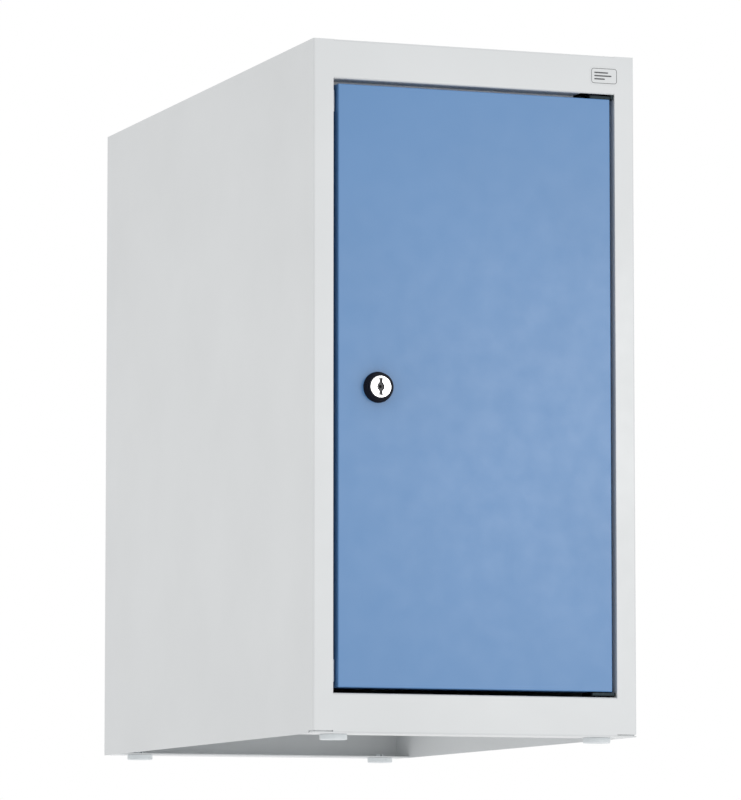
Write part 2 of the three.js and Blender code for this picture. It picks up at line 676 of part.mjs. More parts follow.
const clipRows = { front: FRONT + CLIP_FROM_FRONT, rear: REAR - CLIP_FROM_REAR };
const glideRows = { front: GLIDE_FRONT_Y, rear: GLIDE_REAR_Y };
const sides = { left: -1, right: 1 };
for (const [sideName, side] of Object.entries(sides)) {
  for (const [rowName, y] of Object.entries(clipRows)) {
    cabinet.add(placed(mesh(`shelf_clip_${rowName}_${sideName}`, shelfClip(side), zincPlate), 0, y, 0));
  }
  for (const [rowName, y] of Object.entries(glideRows)) {
    const glide = mesh(`foot_glide_${rowName}_${sideName}`, footGlide(), greyPlastic);
    cabinet.add(placed(glide, side * GLIDE_X, y, 0));
  }
}

const upperPlateTop = UPPER_PLATE + BRACKET_PLATE;
const upperBush = bush(UPPER_PLATE, upperPlateTop + BUSH_FLANGE + BUSH_SPARE, upperPlateTop);
const lowerFlange = FLOOR_TOP - SHEET - BUSH_FLANGE;
const lowerBush = bush(lowerFlange - BUSH_SPARE, LOWER_PLATE + BRACKET_PLATE, lowerFlange);
cabinet.add(
  mesh('hinge_bracket_upper', upperBracket(), darkSteel),
  mesh('hinge_bracket_lower', bracketPlate(LOWER_PLATE), darkSteel),
  mesh('hinge_bush_upper', upperBush, blackPlastic),
  mesh('hinge_bush_lower', lowerBush, blackPlastic),
  mesh('door_buffer_upper', doorBuffer(DOOR_TOP - BUFFER_END_DISTANCE - BUFFER_HEIGHT), greyPlastic),
  mesh('door_buffer_lower', doorBuffer(DOOR_BOTTOM + BUFFER_END_DISTANCE), greyPlastic),
);

const door = new THREE.Group();
door.add(
  mesh('door_pan', doorPan(), bluePaint),
  mesh('door_stiffener', doorStiffener(), bluePaint),
  mesh('hinge_pin_upper', upperPin(), darkSteel),
  mesh('hinge_pin_lower', lowerPin(), darkSteel),
  mesh('hinge_washer', hingeWasher(), blackPlastic),
  mesh('lock_rosette', lockRosette(), blackPlastic),
  mesh('lock_housing', lockHousing(), blackPlastic),
  mesh('lock_nut', lockNut(), zincPlate),
);
cabinet.add(door);

const lockCore = new THREE.Group();
lockCore.add(
  mesh('lock_plug', lockPlug(), lockFace),
  mesh('lock_cam', lockCam(), zincPlate),
  mesh('cam_washer', camWasher(), zincPlate),
  mesh('cam_screw', camScrew(), zincPlate),
);
door.add(lockCore);

export default cabinet;
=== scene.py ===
"""A steel bedside cabinet with one lockable door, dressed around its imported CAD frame.

Nearly every piece below is a finer version of a CAD node: folded sheets with true bend radii, broken edges,
spot-weld dimples, a threaded lock barrel and a key slot. Places come from the frame's boxes, in metres.
"""

import math

import bmesh
import bpy
from mathutils import Matrix, Vector

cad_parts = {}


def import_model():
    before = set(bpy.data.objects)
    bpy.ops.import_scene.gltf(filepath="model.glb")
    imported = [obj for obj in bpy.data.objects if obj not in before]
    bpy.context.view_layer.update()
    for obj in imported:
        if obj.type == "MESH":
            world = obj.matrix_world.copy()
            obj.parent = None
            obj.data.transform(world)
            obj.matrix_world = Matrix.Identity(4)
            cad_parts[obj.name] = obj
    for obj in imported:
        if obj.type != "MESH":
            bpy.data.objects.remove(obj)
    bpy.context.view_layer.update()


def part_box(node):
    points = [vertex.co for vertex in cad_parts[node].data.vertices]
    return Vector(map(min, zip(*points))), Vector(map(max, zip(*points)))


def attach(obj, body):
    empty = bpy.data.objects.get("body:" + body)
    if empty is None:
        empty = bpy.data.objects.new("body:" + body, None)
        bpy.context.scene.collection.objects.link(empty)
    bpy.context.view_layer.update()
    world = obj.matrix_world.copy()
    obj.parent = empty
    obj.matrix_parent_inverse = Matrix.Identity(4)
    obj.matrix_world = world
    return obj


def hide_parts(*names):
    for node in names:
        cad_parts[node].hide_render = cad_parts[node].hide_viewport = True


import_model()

MM = 0.001

# Sheet metal.
SHEET = 1.0 * MM
BEND = 1.5 * MM
BEND_STEPS = 8
JOINT_GAP = 0.3 * MM
BROKEN_EDGE = 0.16 * MM
STILE_LIP = 22 * MM
TOP_RAIL_LIP = 25 * MM
TOP_LIP_STEP = 14 * MM
TOP_LIP_DROP = 3.1 * MM
TOP_SLIT = 10 * MM
TOP_SLIT_WIDTH = 1.2 * MM
TOP_NOTCH = 27 * MM
BOTTOM_RAIL_LIP = 16 * MM
FLOOR_LAP = 18 * MM
PLINTH_FLANGE = 32 * MM
STILE_SLIT = 0.9 * MM
SLIT_RETURN = 10 * MM
REAR_FLANGE = 15 * MM
DOOR_FLANGE = 12 * MM
DOOR_EDGE_RADIUS = 0.8 * MM
BRACKET_PLATE = 2.3 * MM
BRACKET_DEPTH = 19 * MM
CORNER_SLIT = 0.5 * MM
WELD_PITCH = 58 * MM
WELD_LINE = 0.55 * REAR_FLANGE
WELD_RADIUS = 2.6 * MM
WELD_DEPTH = 0.22 * MM

# Round pieces.
ROUND = 96
SMALL_ROUND = 48
RUNNING_GAP = 0.2 * MM
PIN_RADIUS = 3 * MM
PIN_HOLE_RADIUS = 3.1 * MM
BUSH_BORE_RADIUS = PIN_RADIUS + RUNNING_GAP
BUSH_HOLE_RADIUS = 4.2 * MM
BUSH_FLANGE = 1.5 * MM
GLIDE_HOLE_RADIUS = 3.2 * MM
LOCK_HOLE_RADIUS = 9.6 * MM
TANG_HALF_WIDTH = 3.5 * MM

# The camera, fitted to the photograph's view of the body's corners.
CAMERA_PLACE = Vector((-1.35633, -3.71614, -0.13829))
CAMERA_YAW = math.radians(20.178)
CAMERA_PITCH = math.radians(5.892)
CAMERA_LENS = 232.89

# The floor, the room and the lights, in metres and watts.
FLOOR_REACH = 6.0
FLOOR_SHADE = 0.86
ROOM_SHADE_AT_LEFT = 0.76
GLOSS_LIGHT_PLACE = (0.60, -1.44, 0.35)
GLOSS_LIGHT_SIZE = (0.4, 0.4)
GLOSS_LIGHT_POWER = 5.6
STRIP_LIGHT_PLACE = (-0.5, -0.05, 0.22)
STRIP_LIGHT_SIZE = (0.9, 0.1)
STRIP_LIGHT_POWER = 0.16


# Places taken from the frame.


def box(node):
    """A CAD node's box as (low, high)."""
    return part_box(node)


def middle(node):
    """The middle of a CAD node's box."""
    low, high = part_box(node)
    return (low + high) / 2


rail_low, rail_high = box("bottom_front_rail")
side_low, side_high = box("side_panel_right")
top_low, _ = box("top_panel")
door_low, door_high = box("door_pan")
floor_low, floor_high = box("floor_panel")
FRONT = rail_low.y
REAR = side_high.y
BASE = rail_low.z
TOP = side_high.z
SIDE = side_high.x
INSIDE = SIDE - SHEET
OPENING_SIDE = side_low.x
OPENING_BOTTOM = rail_high.z
OPENING_TOP = top_low.z + TOP_LIP_DROP
STILE_BOTTOM = BASE + SHEET + STILE_SLIT
PIVOT = middle("hinge_pin_upper")
LOCK = Vector((middle("lock_housing").x, FRONT, middle("lock_housing").z))


# Mesh building.


def new_object(name, bm):
    """A linked object made of a bmesh."""
    mesh = bpy.data.meshes.new(name)
    bmesh.ops.recalc_face_normals(bm, faces=bm.faces)
    bm.to_mesh(mesh)
    bm.free()
    obj = bpy.data.objects.new(name, mesh)
    bpy.context.scene.collection.objects.link(obj)
    return obj


AXIS_TURN = {
    "x": Matrix(((0, 0, 1), (1, 0, 0), (0, 1, 0))),
    "y": Matrix(((0, 1, 0), (0, 0, 1), (1, 0, 0))),
    "z": Matrix.Identity(3),
}


def extruded(outline, axis, low, high):
    """A prism. The outline's coordinates are (y, z) along x, (z, x) along y and (x, y) along z."""
    turn = AXIS_TURN[axis]
    bm = bmesh.new()
    near = [bm.verts.new(turn @ Vector((u, v, low))) for u, v in outline]
    far = [bm.verts.new(turn @ Vector((u, v, high))) for u, v in outline]
    bm.faces.new(near)
    bm.faces.new(far)
    for i in range(len(outline)):
        j = (i + 1) % len(outline)
        bm.faces.new((near[i], near[j], far[j], far[i]))
    return new_object("part", bm)


def block(xs, ys, zs):
    """An axis-aligned box between two limits along each axis."""
    return extruded([(xs[0], ys[0]), (xs[1], ys[0]), (xs[1], ys[1]), (xs[0], ys[1])], "z", *zs)


def turned(profile, axis, centre, segments=ROUND):
    """A solid turned about an axis through centre, from (radius, height) points that may make a ring."""
    bm = bmesh.new()
    across = {"y": Matrix(((1, 0, 0), (0, 0, 1), (0, 1, 0))), "z": Matrix.Identity(3)}[axis]
    rings = []
    for radius, height in profile:
        if radius == 0:
            rings.append([bm.verts.new(across @ Vector((0, 0, height)))])
            continue
        ring = []
        for i in range(segments):
            angle = 2 * math.pi * i / segments
            point = Vector((radius * math.cos(angle), radius * math.sin(angle), height))
            ring.append(bm.verts.new(across @ point))
        rings.append(ring)
    closed = profile[0][0] > 0
    pairs = list(zip(rings, rings[1:] + (rings[:1] if closed else [])))
    for low, high in pairs:
        for i in range(segments):
            j = (i + 1) % segments
            corners = [low[i % len(low)], low[j % len(low)], high[j % len(high)], high[i % len(high)]]
            unique = list(dict.fromkeys(corners))
            if len(unique) > 2:
                bm.faces.new(unique)
    bmesh.ops.translate(bm, vec=Vector(centre), verts=bm.verts)
    return new_object("part", bm)


def disc(radius, low, high, axis, centre, segments=ROUND):
    """A plain cylinder along an axis."""
    return turned([(0, low), (radius, low), (radius, high), (0, high)], axis, centre, segments)


def evaluated(obj):
    """The object's mesh with its modifiers applied."""
    return bpy.data.meshes.new_from_object(obj.evaluated_get(bpy.context.evaluated_depsgraph_get()))


def combine(base, tool, operation):
    """Joins or cuts base by tool, which is used up."""
    modifier = base.modifiers.new("boolean", "BOOLEAN")
    modifier.operation = operation
    modifier.object = tool
    modifier.solver = "EXACT"
    mesh = evaluated(base)
    base.modifiers.clear()
    base.data = mesh
    bpy.data.objects.remove(tool)
    return base


def cut(base, *tools):
    """base without the tools."""
    for tool in tools:
        combine(base, tool, "DIFFERENCE")
    return base


def join(base, *tools):
    """base together with the tools."""
    for tool in tools:
        combine(base, tool, "UNION")
    return base


def together(tools):
    """Separate, non-touching solids as one object, so that one boolean cuts them all."""
    bm = bmesh.new()
    for tool in tools:
        bm.from_mesh(tool.data)
        bpy.data.objects.remove(tool)
    return new_object("tools", bm)


def mirrored(obj):
    """The object mirrored across the middle plane x = 0."""
    bm = bmesh.new()
    bm.from_mesh(obj.data)
    bmesh.ops.scale(bm, vec=(-1, 1, 1), verts=bm.verts)
    bmesh.ops.reverse_faces(bm, faces=bm.faces)
    bm.to_mesh(obj.data)
    bm.free()
    return obj


def cleaned(obj):
    """Merges doubled vertices and the flat faces that booleans split."""
    bm = bmesh.new()
    bm.from_mesh(obj.data)
    bmesh.ops.remove_doubles(bm, verts=bm.verts, dist=0.002 * MM)
    bmesh.ops.dissolve_degenerate(bm, edges=bm.edges, dist=0.002 * MM)
    bmesh.ops.dissolve_limit(bm, angle_limit=math.radians(0.3), verts=bm.verts, edges=bm.edges)
    bmesh.ops.recalc_face_normals(bm, faces=bm.faces)
    bm.to_mesh(obj.data)
    bm.free()


def finished(
    obj, name, body, material,
    broken_edge=BROKEN_EDGE, keep_square=None, sharp=32, replaces_node=True,
):
    """Names a piece, breaks its sharp edges, shades it, and puts it on its body in its CAD node's place."""
    cleaned(obj)
    obj.name = name
    obj.data.name = name
    if broken_edge:
        weigh_edges(obj, keep_square, sharp)
        bevel = obj.modifiers.new("broken_edges", "BEVEL")
        bevel.width = broken_edge
        bevel.segments = 2
        bevel.limit_method = "WEIGHT"
        bevel.use_clamp_overlap = True
    obj.data.polygons.foreach_set("use_smooth", [True] * len(obj.data.polygons))
    obj.data.set_sharp_from_angle(angle=math.radians(50 if broken_edge else sharp))
    if broken_edge:
        obj.data.attributes.remove(obj.data.attributes["sharp_edge"])
    normals = obj.modifiers.new("flat_faces", "WEIGHTED_NORMAL")
    normals.keep_sharp = True
    normals.weight = 100
    obj.data.materials.clear()
    obj.data.materials.append(material)
    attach(obj, body)
    if replaces_node:
        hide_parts(name)
    return obj


def weigh_edges(obj, keep_square, sharp):
    """Marks the edges to break: every one that turns more than the angle, apart from seams kept square."""
    bm = bmesh.new()
    bm.from_mesh(obj.data)
    layer = bm.edges.layers.float.new("bevel_weight_edge")
    for edge in bm.edges:
        if len(edge.link_faces) != 2 or edge.calc_face_angle(0) < math.radians(sharp):
            continue
        centre = (edge.verts[0].co + edge.verts[1].co) / 2
        if keep_square and keep_square(centre):
            continue
        edge[layer] = 1.0
    bm.to_mesh(obj.data)
    bm.free()


def folded(path, thickness=SHEET, bend=BEND):
    """The section of a folded sheet. The path runs along one face, and the sheet lies on its left."""
    face = [Vector(point) for point in path]
    runs = [(b - a).normalized() for a, b in zip(face, face[1:])]
    normals = [Vector((-run.y, run.x)) for run in runs]
    near = [face[0]]
    far = [face[0] + normals[0] * thickness]
    for i in range(1, len(runs)):
        into, out = runs[i - 1], runs[i]
        turn = 1 if into.x * out.y - into.y * out.x > 0 else -1
        near_radius = bend if turn > 0 else bend - thickness
        far_radius = bend - thickness if turn > 0 else bend
        centre = face[i] - into * near_radius + normals[i - 1] * turn * near_radius
        for step in range(BEND_STEPS + 1):
            spoke = Matrix.Rotation(turn * math.pi / 2 * step / BEND_STEPS, 2) @ (normals[i - 1] * -turn)
            near.append(centre + spoke * near_radius)
            far.append(centre + spoke * far_radius)
    near.append(face[-1])
    far.append(face[-1] + normals[-1] * thickness)
    return near + far[::-1]


def rounded_box_outline(low, high, radius, steps=6):
    """A rectangle with round corners, as points in its own plane."""
    points = []
    corners = [(high[0], high[1], 0), (low[0], high[1], 1), (low[0], low[1], 2), (high[0], low[1], 3)]
    for u, v, quarter in corners:
        towards = Vector((1 if quarter in (0, 3) else -1, 1 if quarter in (0, 1) else -1))
        centre = Vector((u, v)) - towards * radius
        for step in range(steps + 1):
            angle = math.pi / 2 * (quarter + step / steps)
            points.append(centre + Vector((math.cos(angle), math.sin(angle))) * radius)
    return points


def weld_dimples(places, axis):
    """Shallow lens-shaped tools that press spot-weld marks into a face."""
    above = 0.3 * MM
    lens = [
        (0, -WELD_DEPTH),
        (WELD_RADIUS * 0.6, -WELD_DEPTH * 0.8),
        (WELD_RADIUS, 0),
        (WELD_RADIUS, above),
        (0, above),
    ]
    tools = []
    for place, outwards in places:
        profile = [(r, h * outwards) for r, h in lens]
        tools.append(turned(profile, axis, place, 24))
    return together(tools)


def spread(low, high, pitch):
    """Evenly spaced places between two limits, about a pitch apart."""
    count = max(1, round((high - low) / pitch))
    return [low + (high - low) * (i + 0.5) / count for i in range(count)]


# Materials.


def node_material(name):
    """An empty node material with its shader."""
    material = bpy.data.materials.new(name)
    material.use_nodes = True
    shader = material.node_tree.nodes["Principled BSDF"]
    return material, material.node_tree, shader


def noise(tree, scale, detail=2.0, roughness=0.5, stretch=None):
    """A noise texture in the piece's own coordinates, so that it moves with the piece."""
    coordinates = tree.nodes.new("ShaderNodeTexCoord")
    texture = tree.nodes.new("ShaderNodeTexNoise")
    texture.inputs["Scale"].default_value = scale
    texture.inputs["Detail"].default_value = detail
    texture.inputs["Roughness"].default_value = roughness
    source = coordinates.outputs["Object"]
    if stretch:
        mapping = tree.nodes.new("ShaderNodeMapping")
        mapping.inputs["Scale"].default_value = stretch
        tree.links.new(source, mapping.inputs["Vector"])
        source = mapping.outputs["Vector"]
    tree.links.new(source, texture.inputs["Vector"])
    return texture.outputs["Fac"]


def ranged(tree, value, low, high):
    """A noise value brought between two limits."""
    node = tree.nodes.new("ShaderNodeMapRange")
    node.inputs["From Min"].default_value = 0.25
    node.inputs["From Max"].default_value = 0.75
    node.inputs["To Min"].default_value = low
    node.inputs["To Max"].default_value = high
    tree.links.new(value, node.inputs["Value"])
    return node.outputs["Result"]


def mixed(tree, factor, first, second):
    """Two colours mixed by a factor."""
    node = tree.nodes.new("ShaderNodeMix")
    node.data_type = "RGBA"
    node.inputs["A"].default_value = (*first, 1)
    node.inputs["B"].default_value = (*second, 1)
    tree.links.new(factor, node.inputs["Factor"])
    return node.outputs["Result"]


def bumped(tree, shader, height, distance):
    """Drives the shader's normal from a height."""
    bump = tree.nodes.new("ShaderNodeBump")
    bump.inputs["Distance"].default_value = distance
    bump.inputs["Strength"].default_value = 0.5
    tree.links.new(height, bump.inputs["Height"])
    tree.links.new(bump.outputs["Normal"], shader.inputs["Normal"])


def powder_coat(name, colour, roughness):
    """Powder coat: a fine orange peel, a slight mottling of the colour and of the gloss."""
    material, tree, shader = node_material(name)
    darker = [c * 0.97 for c in colour]
    lighter = [min(1.0, c * 1.02) for c in colour]
    cloud = ranged(tree, noise(tree, 9, 3), 0.0, 1.0)
    tree.links.new(mixed(tree, cloud, darker, lighter), shader.inputs["Base Color"])
    gloss = ranged(tree, noise(tree, 60, 3), roughness - 0.03, roughness + 0.03)
    tree.links.new(gloss, shader.inputs["Roughness"])
    shader.inputs["Specular IOR Level"].default_value = 0.5
    bumped(tree, shader, noise(tree, 900, 2, 0.6), 0.03 * MM)
    return material


def plated_metal(name, colour, roughness):
    """Plated steel: fine rolling lines and a soft crystal mottling."""
    material, tree, shader = node_material(name)
    shader.inputs["Metallic"].default_value = 1.0
    darker = [c * 0.88 for c in colour]
    mottled = ranged(tree, noise(tree, 350, 4, 0.6), 0.0, 1.0)
    tree.links.new(mixed(tree, mottled, darker, colour), shader.inputs["Base Color"])
    gloss = ranged(tree, noise(tree, 500, 2), roughness - 0.06, roughness + 0.08)
    tree.links.new(gloss, shader.inputs["Roughness"])
    bumped(tree, shader, noise(tree, 700, 2, 0.5, (1, 1, 0.08)), 0.02 * MM)
    return material


def moulded_plastic(name, colour, roughness, grain=0.03 * MM, specular=0.5):
    """Moulded plastic: a fine spark-eroded grain and a slightly uneven gloss."""
    material, tree, shader = node_material(name)
    darker = [c * 0.92 for c in colour]
    shade = ranged(tree, noise(tree, 150, 3), 0.0, 1.0)
    tree.links.new(mixed(tree, shade, darker, colour), shader.inputs["Base Color"])
    gloss = ranged(tree, noise(tree, 400, 2), roughness - 0.04, roughness + 0.05)
    tree.links.new(gloss, shader.inputs["Roughness"])
    bumped(tree, shader, noise(tree, 1800, 2), grain)
    shader.inputs["Specular IOR Level"].default_value = specular
    return material


GREY = (0.715, 0.733, 0.742)
GREY_PAINT = powder_coat("grey_powder_coat", GREY, 0.4)
BLUE_PAINT = powder_coat("blue_powder_coat", (0.105, 0.256, 0.515), 0.4)
ZINC = plated_metal("zinc_plated_steel", (0.72, 0.73, 0.75), 0.32)
LOCK_FACE = plated_metal("nickel_plated_lock_face", (0.94, 0.94, 0.94), 0.3)
# Near-black painted shade for the wafers deep in the key slot, not the wafers' own colour.
KEYWAY_PAINTED_SHADE = moulded_plastic("keyway_painted_shade", (0.05, 0.05, 0.055), 0.5)
BLACK = moulded_plastic("black_plastic", (0.003, 0.005, 0.014), 0.42, specular=0.1)
GLIDE = moulded_plastic("grey_glide_plastic", (0.80, 0.84, 0.86), 0.45)
DARK_STEEL = plated_metal("blackened_steel", (0.018, 0.024, 0.027), 0.4)
FOIL = powder_coat("label_foil", GREY, 0.45)
INK = moulded_plastic("label_ink", (0.06, 0.065, 0.07), 0.5, 0.01 * MM)


# The body.


def square_at_rails(centre):
    """The welded seams between stiles and rails, which are ground flush."""
    near = 0.1 * MM
    in_a_rail = centre.z > OPENING_TOP - near or centre.z < OPENING_BOTTOM + near
    return in_a_rail and abs(abs(centre.x) - OPENING_SIDE) < near and centre.y < FRONT + 1.1 * SHEET


def side_panel(name, is_right):
    """One sheet: side, front stile with its lip, and rear flange."""
    plain_path = [(-OPENING_SIDE, FRONT), (-SIDE, FRONT), (-SIDE, REAR), (-SIDE + REAR_FLANGE, REAR)]
    lip_path = [(-OPENING_SIDE, FRONT + STILE_LIP), *plain_path]
    panel = extruded(folded(plain_path[::-1]), "z", STILE_BOTTOM, TOP)
    join(panel, extruded(folded(lip_path[::-1]), "z", floor_high.z + JOINT_GAP, OPENING_TOP))
    join(panel, block((-SIDE, -INSIDE), (FRONT + SLIT_RETURN, REAR - BEND), (BASE, STILE_BOTTOM + SHEET)))
    heights = spread(BASE + 30 * MM, TOP - 20 * MM, WELD_PITCH)
    cut(panel, weld_dimples([((-SIDE + WELD_LINE, REAR, z), 1) for z in heights], "y"))
    if is_right:
        mirrored(panel)
    return finished(panel, name, "cabinet", GREY_PAINT, keep_square=square_at_rails)


def top_panel():
    """The top with its front rail, rail lip and rear flange."""
    section = folded([
        (FRONT + 2 * BEND, OPENING_TOP),
        (FRONT, OPENING_TOP),
        (FRONT, TOP),
        (REAR, TOP),
        (REAR, TOP - REAR_FLANGE),
    ][::-1])
    panel = extruded(section, "x", -OPENING_SIDE, OPENING_SIDE)
    lip_end = OPENING_SIDE - TOP_NOTCH
    lip_section = folded([
        (FRONT + BEND, OPENING_TOP),
        (FRONT + TOP_LIP_STEP, OPENING_TOP),
        (FRONT + TOP_LIP_STEP, OPENING_TOP - TOP_LIP_DROP),
        (FRONT + TOP_RAIL_LIP, OPENING_TOP - TOP_LIP_DROP),
    ])
    edge = BEND + JOINT_GAP
    join(
        panel,
        extruded(lip_section, "x", -OPENING_SIDE + JOINT_GAP, lip_end),
        block((-INSIDE, INSIDE), (FRONT + edge, REAR - edge), (TOP - SHEET, TOP)),
    )
    heights = (OPENING_TOP - SHEET, OPENING_TOP + 2 * SHEET)
    slit_depth = (FRONT + SHEET, FRONT + SHEET + TOP_SLIT_WIDTH)
    cut(
        panel,
        block((-OPENING_SIDE - SHEET, -OPENING_SIDE + TOP_SLIT), slit_depth, heights),
        block((lip_end, OPENING_SIDE + SHEET), (FRONT + SHEET, FRONT + TOP_RAIL_LIP + SHEET), heights),
    )
    flange_height = TOP - REAR_FLANGE * 0.6
    xs = spread(-OPENING_SIDE, OPENING_SIDE, WELD_PITCH)
    cut(panel, weld_dimples([((x, REAR, flange_height), 1) for x in xs], "y"))
    return finished(panel, "top_panel", "cabinet", GREY_PAINT, keep_square=square_at_rails)


def pivot_hole(low, high, radius):
    """A tool that drills along the door's pivot line."""
    return disc(radius, low, high, "z", (PIVOT.x, PIVOT.y, 0), SMALL_ROUND)


def bush_hole():
    """A tool that drills the lower bush's hole."""
    return pivot_hole(box("hinge_bush_lower")[0].z - MM, door_low.z, BUSH_HOLE_RADIUS)


def glide_holes(row):
    """A tool that drills the holes for one row of glides."""
    tools = []
    for side_name in ("left", "right"):
        glide = middle(f"foot_glide_{row}_{side_name}")
        centre = (glide.x, glide.y, 0)
        tools.append(disc(GLIDE_HOLE_RADIUS, BASE - MM, BASE + 2 * SHEET, "z", centre, SMALL_ROUND))
    return together(tools)


def stile_upstands():
    """Two low angles on the plinth flange, close behind the stiles, which close the slits under them."""
    clearance, height = 0.05 * MM, 4 * MM
    front = FRONT + SHEET + clearance
    outside = -INSIDE + clearance
    path = [(-OPENING_SIDE - JOINT_GAP, front), (outside, front), (outside, FRONT + SLIT_RETURN - MM)]
    section = folded(path[::-1])
    heights = (BASE + SHEET, STILE_BOTTOM + height)
    pair = together([extruded(section, "z", *heights), mirrored(extruded(section, "z", *heights))])
    return finished(pair, "stile_upstands", "cabinet", GREY_PAINT, replaces_node=False)


def bottom_front_rail():
    """The rail below the door, with its top lip and the plinth flange, which runs on under the stiles."""
    section = folded([
        (FRONT + BOTTOM_RAIL_LIP, OPENING_BOTTOM),
        (FRONT, OPENING_BOTTOM),
        (FRONT, BASE),
        (FRONT + PLINTH_FLANGE, BASE),
    ])
    rail = extruded(section, "x", -SIDE + JOINT_GAP, SIDE - JOINT_GAP)
    slit_end = FRONT + SLIT_RETURN - JOINT_GAP
    behind = rail_high.y + MM
    for side in (-1, 1):
        stile = sorted((side * OPENING_SIDE, side * (SIDE + MM)))
        side_sheet = sorted((side * rail_high.x, side * (SIDE + MM)))
        cut(
            rail,
            block(stile, (FRONT - MM, behind), (BASE + SHEET, OPENING_BOTTOM + MM)),
            block(side_sheet, (slit_end, behind), (BASE - MM, BASE + 2 * SHEET)),
        )
    cut(rail, bush_hole(), glide_holes("front"))
    return finished(
        rail, "bottom_front_rail", "cabinet", GREY_PAINT, keep_square=square_at_rails
    )


def square_at_rear_foot(centre):
    """The rear panel's lower corners, which lie against the side panels' bends."""
    return abs(centre.x) > INSIDE - MM and centre.y > REAR - 3 * MM and centre.z < BASE + 2 * MM


def rear_panel():
    """The rear sheet with its plinth flange."""
    low, high = box("rear_panel")
    panel = extruded(folded([(low.y, BASE), (high.y, BASE), (high.y, high.z)]), "x", -INSIDE, INSIDE)
    corner = 0.7 * MM
    plan = [
        (-INSIDE, low.y - MM),
        (INSIDE, low.y - MM),
        (INSIDE, high.y - corner),
        (INSIDE - corner, high.y),
        (-INSIDE + corner, high.y),
        (-INSIDE, high.y - corner),
    ]
    combine(panel, extruded(plan, "z", BASE - MM, TOP), "INTERSECT")
    cut(panel, glide_holes("rear"))
    heights = spread(floor_low.z + 10 * MM, TOP - 30 * MM, WELD_PITCH)
    sides = (-SIDE + WELD_LINE, SIDE - WELD_LINE)
    cut(panel, weld_dimples([((x, high.y - SHEET, z), -1) for x in sides for z in heights], "y"))
    return finished(
        panel, "rear_panel", "cabinet", GREY_PAINT, keep_square=square_at_rear_foot
    )


def floor_panel():
    """The compartment's floor, folded down at its sides and rear."""
    low, high = box("floor_panel")
    across = folded([(low.x, low.z), (low.x, high.z), (high.x, high.z), (high.x, low.z)][::-1])
    panel = extruded([(v, u) for u, v in across], "y", FRONT + FLOOR_LAP, high.y)
    join(
        panel,
        block((low.x, high.x), (low.y, FRONT + FLOOR_LAP + 2 * MM), (high.z - SHEET, high.z)),
        block((low.x + BEND, high.x - BEND), (high.y - SHEET, high.y), (low.z, high.z - SHEET / 2)),
    )
    cut(panel, bush_hole())
    return finished(panel, "floor_panel", "cabinet", GREY_PAINT)


def shelf():
    """A folded tray, open underneath, with bent edges and open corners."""
    low, high = box("shelf")
    across = folded([(low.x, low.z), (low.x, high.z), (high.x, high.z), (high.x, low.z)][::-1])
    along = folded([(low.y, low.z), (low.y, high.z), (high.y, high.z), (high.y, low.z)][::-1])
    slit = BEND + CORNER_SLIT
    tray = extruded([(v, u) for u, v in across], "y", low.y + slit, high.y - slit)
    join(tray, extruded(along, "x", low.x + slit, high.x - slit))
    corner = 3 * BEND
    for xs in ((low.x + BEND, low.x + corner), (high.x - corner, high.x - BEND)):
        for ys in ((low.y + BEND, low.y + corner), (high.y - corner, high.y - BEND)):
            join(tray, block(xs, ys, (high.z - SHEET, high.z)))
    return finished(tray, "shelf", "cabinet", GREY_PAINT)


def label():
    """The label's thin foil."""
    low, high = box("label")
    outline = rounded_box_outline((low.z, low.x), (high.z, high.x), 2.5 * MM)
    foil = extruded(outline, "y", low.y + 0.05 * MM, FRONT)
    return finished(foil, "label", "cabinet", FOIL, broken_edge=0.03 * MM)


def label_print():
    """What is printed on the label: a round-cornered border and three plain bars."""
    low, high = box("label")
    inset, line, corner = 0.9 * MM, 0.35 * MM, 2 * MM
    margin, half_bar = 3.2 * MM, 0.5 * MM
    face = (low.y, low.y + 0.06 * MM)
    outer = rounded_box_outline((low.z + inset, low.x + inset), (high.z - inset, high.x - inset), corner)
    edge = inset + line
    inner = rounded_box_outline((low.z + edge, low.x + edge), (high.z - edge, high.x - edge), corner - line)
    border = cut(extruded(outer, "y", *face), extruded(inner, "y", face[0] - MM, face[1] + MM))
    bars = []
    for share, width in ((0.68, 0.5), (0.5, 0.62), (0.32, 0.38)):
        z = low.z + (high.z - low.z) * share
        x0 = low.x + margin
        x1 = x0 + (high.x - low.x) * width
        bar = rounded_box_outline((z - half_bar, x0), (z + half_bar, x1), 0.4 * MM, 3)
        bars.append(extruded(bar, "y", *face))
    marks = together([border, *bars])
    return finished(marks, "label_print", "cabinet", INK, broken_edge=0, replaces_node=False)


# Small fittings on the body.


def shelf_clip(name):
    """A bent steel clip: a leg on the side panel and a tab under the shelf."""
    low, high = box(name)
    inner, outer = (low.x, high.x) if low.x < 0 else (high.x, low.x)
    path = [(inner, high.z), (inner, low.z), (outer, low.z)]
    if low.x > 0:
        path = path[::-1]
    thickness, bend = 1.5 * MM, 2 * MM
    section = [(v, u) for u, v in folded(path, thickness, bend)]
    clip = extruded(section, "y", low.y, high.y)
    return finished(clip, name, "cabinet", ZINC, broken_edge=0.2 * MM)


